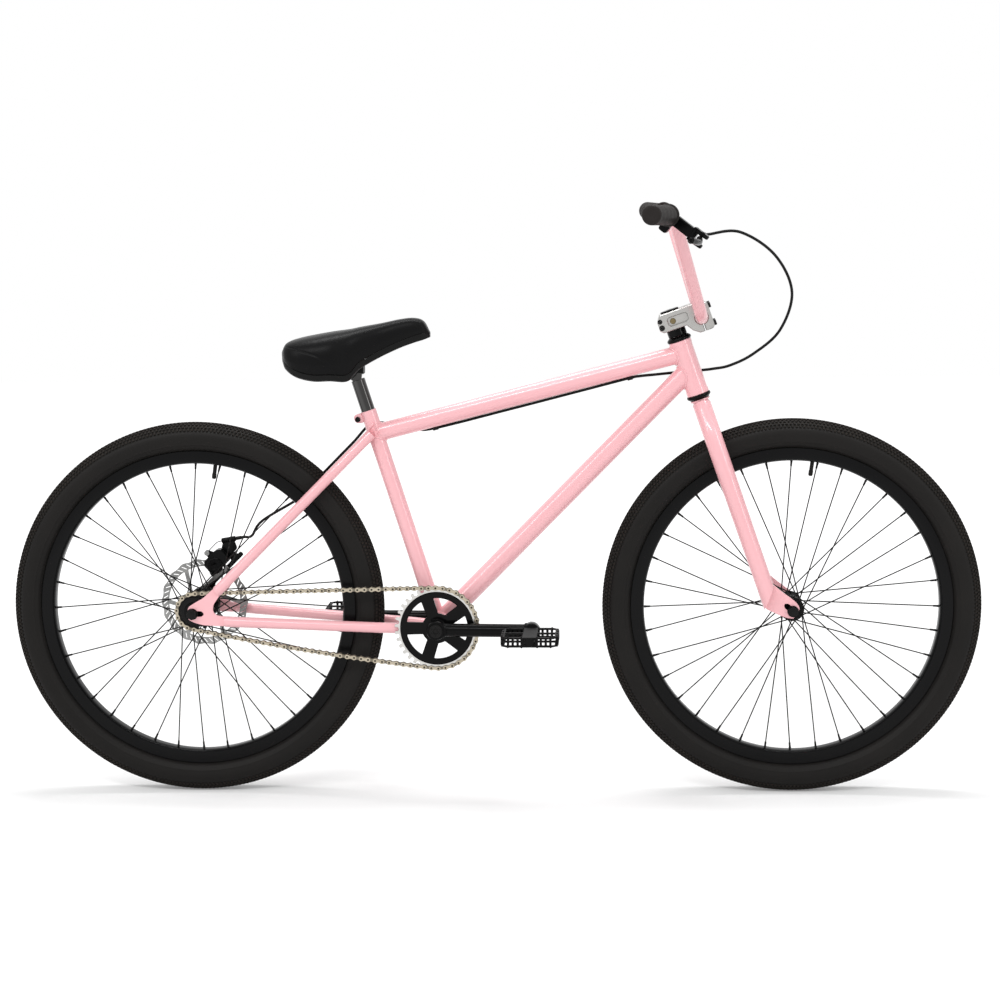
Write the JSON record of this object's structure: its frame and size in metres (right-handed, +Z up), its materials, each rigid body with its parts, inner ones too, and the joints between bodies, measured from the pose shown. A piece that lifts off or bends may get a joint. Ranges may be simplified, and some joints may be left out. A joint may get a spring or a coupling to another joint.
{
  "type": "bmx cruiser bicycle",
  "caption": "Single speed BMX cruiser: pink steel frame and fork, high rise bar with a crossbar, black wheels, slim pivotal saddle, rear disc brake with its lever on the right.",
  "frame": {"origin": "on the ground, midway between the axles, in the middle plane of the frame", "axes": "+X forward along the wheelbase, +Y towards the rider's left, +Z up"},
  "size_m": [1.74, 0.7294, 1.0541],
  "materials": {
    "pink_paint": "gloss pastel pink paint",
    "black_metal": "satin black",
    "black_aluminium": "black anodised",
    "raw_aluminium": "brushed and polished",
    "steel": "plain bright steel",
    "chain_steel": "dull, slightly golden",
    "tyre_rubber": "matt black",
    "grip_rubber": "matt dark grey",
    "black_plastic": "matt black",
    "black_vinyl": "smooth black vinyl",
    "cable_black": "black sheath",
    "friction_pad": "brown friction material"
  },
  "bodies": {
    "frame": {"head_tube": "pink_paint", "top_tube": "pink_paint", "down_tube": "pink_paint", "seat_tube": "pink_paint", "bottom_bracket_shell": "pink_paint", "right_chainstay": "pink_paint", "left_chainstay": "pink_paint", "right_seatstay": "pink_paint", "left_seatstay": "pink_paint", "seat_clamp_bolt": "steel", "upper_headset_cup": "black_aluminium", "lower_headset_cup": "black_aluminium", "right_bb_bearing": "black_metal", "left_bb_bearing": "black_metal", "rear_axle": "black_metal", "caliper_bracket": "black_aluminium", "caliper_body": "black_aluminium", "rear_brake_cable": "cable_black", "chain": "chain_steel"},
    "steering": {"fork_steerer": "pink_paint", "right_fork_leg": "pink_paint", "left_fork_leg": "pink_paint", "headset_spacer": "black_aluminium", "stem_body": "raw_aluminium", "stem_faceplate": "raw_aluminium", "stem_top_cap": "black_aluminium", "handlebar": "pink_paint", "right_grip": "grip_rubber", "left_grip": "grip_rubber", "brake_lever_bracket": "black_aluminium", "front_axle": "black_metal", "brake_cable_loop": "cable_black"},
    "front_wheel": {"front_tyre": "tyre_rubber", "front_inner_tube": "tyre_rubber", "front_rim": "black_aluminium", "front_spokes_right": "black_metal", "front_spokes_left": "black_metal", "front_hub": "black_aluminium"},
    "rear_wheel": {"rear_tyre": "tyre_rubber", "rear_inner_tube": "tyre_rubber", "rear_rim": "black_aluminium", "rear_spokes_right": "black_metal", "rear_spokes_left": "black_metal", "rear_hub": "black_aluminium", "brake_rotor": "steel"},
    "freewheel": {"freewheel": "black_metal"},
    "crank": {"crank_spindle": "black_metal", "right_crank_arm": "black_metal", "left_crank_arm": "black_metal", "chainring": "black_metal", "right_pedal_axle": "steel", "left_pedal_axle": "steel"},
    "right_pedal": {"right_pedal": "black_plastic"},
    "left_pedal": {"left_pedal": "black_plastic"},
    "brake_lever": {"brake_lever_blade": "black_aluminium"},
    "caliper_arm": {"caliper_arm": "black_aluminium"},
    "brake_pad": {"brake_pad": "friction_pad"},
    "seatpost": {"seatpost": "black_aluminium"},
    "saddle": {"saddle_base": "black_plastic", "saddle_cover": "black_vinyl"}
  },
  "joints": [
    {"name": "steering_turn", "type": "hinge", "parent": "frame", "child": "steering", "pos_m": [0.36796, 0, 0.71803], "axis": [-0.3256, 0, 0.9455], "range_deg": [-85, 85], "deforming": ["brake_cable_loop"]},
    {"name": "front_wheel_spin", "type": "hinge", "parent": "steering", "child": "front_wheel", "pos_m": [0.533, 0, 0.337], "axis": [0, 1, 0], "continuous": true},
    {"name": "rear_wheel_spin", "type": "hinge", "parent": "frame", "child": "rear_wheel", "pos_m": [-0.533, 0, 0.337], "axis": [0, 1, 0], "continuous": true},
    {"name": "crank_spin", "type": "hinge", "parent": "frame", "child": "crank", "pos_m": [-0.0979, 0, 0.306], "axis": [0, 1, 0], "continuous": true, "deforming": ["chain"]},
    {"name": "freewheel_spin", "type": "hinge", "parent": "frame", "child": "freewheel", "pos_m": [-0.533, 0, 0.337], "axis": [0, 1, 0], "continuous": true},
    {"name": "right_pedal_spin", "type": "hinge", "parent": "crank", "child": "right_pedal", "pos_m": [0.0721, -0.083, 0.306], "axis": [0, 1, 0], "continuous": true},
    {"name": "left_pedal_spin", "type": "hinge", "parent": "crank", "child": "left_pedal", "pos_m": [-0.2679, 0.083, 0.306], "axis": [0, 1, 0], "continuous": true},
    {"name": "brake_lever_pull", "type": "hinge", "parent": "steering", "child": "brake_lever", "pos_m": [0.36292, -0.22544, 0.99543], "axis": [-0.5979, 0.1132, -0.7935], "range_deg": [0, 24], "stiffness_Nm_per_rad": 0.8, "springref_deg": -28.65},
    {"name": "caliper_arm_turn", "type": "hinge", "parent": "frame", "child": "caliper_arm", "pos_m": [-0.5079, 0.0622, 0.41315], "axis": [0, 1, 0], "range_deg": [0, 20]},
    {"name": "brake_pad_slide", "type": "slide", "parent": "frame", "child": "brake_pad", "axis": [0, -1, 0], "range_m": [0, 0.0007]},
    {"name": "seatpost_slide", "type": "slide", "parent": "frame", "child": "seatpost", "axis": [-0.299, 0, 0.9542], "range_m": [-0.04, 0.07]},
    {"name": "saddle_tilt", "type": "hinge", "parent": "seatpost", "child": "saddle", "pos_m": [-0.23905, 0, 0.7564], "axis": [0, 1, 0], "range_deg": [-10, 10]}
  ],
  "couplings": [
    {"joint": "freewheel_spin", "follows": "crank_spin", "ratio": 2.25},
    {"joint": "caliper_arm_turn", "follows": "brake_lever_pull", "ratio": 0.8333},
    {"joint": "brake_pad_slide", "follows": "brake_lever_pull", "m_per_rad": 0.00167}
  ]
}
